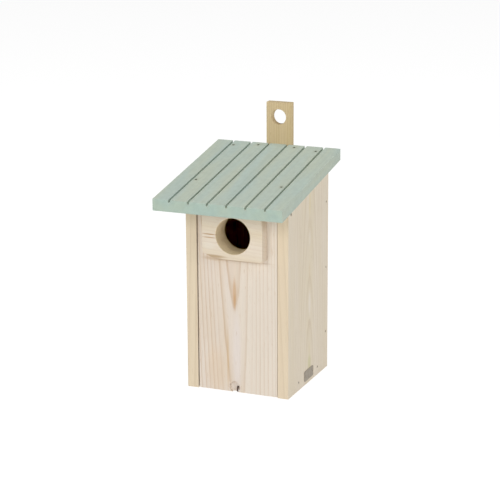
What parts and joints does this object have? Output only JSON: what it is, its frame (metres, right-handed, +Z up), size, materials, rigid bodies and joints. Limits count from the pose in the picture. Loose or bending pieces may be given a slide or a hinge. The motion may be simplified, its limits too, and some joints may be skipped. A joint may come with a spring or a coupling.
{
  "type": "nest box",
  "caption": "Wooden nest box with a sloping kerfed roof, a front door hung on two nails with a round entrance hole and thick plate, a turning hook latch and a hanging slat behind.",
  "frame": {"origin": "on the ground under the middle of the bounding box, roof and slat included", "axes": "+Z up; the door and the entrance hole face -Y; +X is to the right as seen from the front"},
  "size_m": [0.185, 0.23, 0.379],
  "materials": {
    "stained_roof": "thin sage green stain on planed spruce, matt",
    "side_board": "bare planed spruce",
    "inner_board": "bare planed spruce",
    "door_board": "bare planed spruce",
    "plate_board": "bare planed spruce, grain level",
    "slat_board": "bare planed pine",
    "black_wire": "blackened steel wire",
    "steel_nail": "bright wire nail",
    "tag_metal": "dull sheet, blank"
  },
  "bodies": {
    "box": {"side_board_left": "side_board", "side_board_right": "side_board", "back_board": "inner_board", "floor_board": "inner_board", "roof_board": "stained_roof", "hanging_slat": "slat_board", "pivot_nail_left": "steel_nail", "pivot_nail_right": "steel_nail", "roof_nails_left": "steel_nail", "roof_nails_right": "steel_nail", "roof_nails_rear": "steel_nail", "floor_nails_left": "steel_nail", "floor_nails_right": "steel_nail", "floor_nails_rear": "steel_nail", "back_nails_left": "steel_nail", "back_nails_right": "steel_nail", "slat_nails": "steel_nail", "blank_tag": "tag_metal", "tag_pins": "tag_metal"},
    "door": {"front_door": "door_board", "entrance_plate": "plate_board", "plate_nails": "steel_nail"},
    "hook": {"latch_hook": "black_wire"}
  },
  "joints": [
    {"name": "door_hinge", "type": "hinge", "parent": "box", "child": "door", "pos_m": [0, -0.039, 0.2575], "axis": [-1, 0, 0], "range_deg": [0, 36]},
    {"name": "hook_turn", "type": "hinge", "parent": "box", "child": "hook", "pos_m": [-0.0009, -0.033, 0.0074], "axis": [0, 1, 0], "range_deg": [0, 90]}
  ]
}
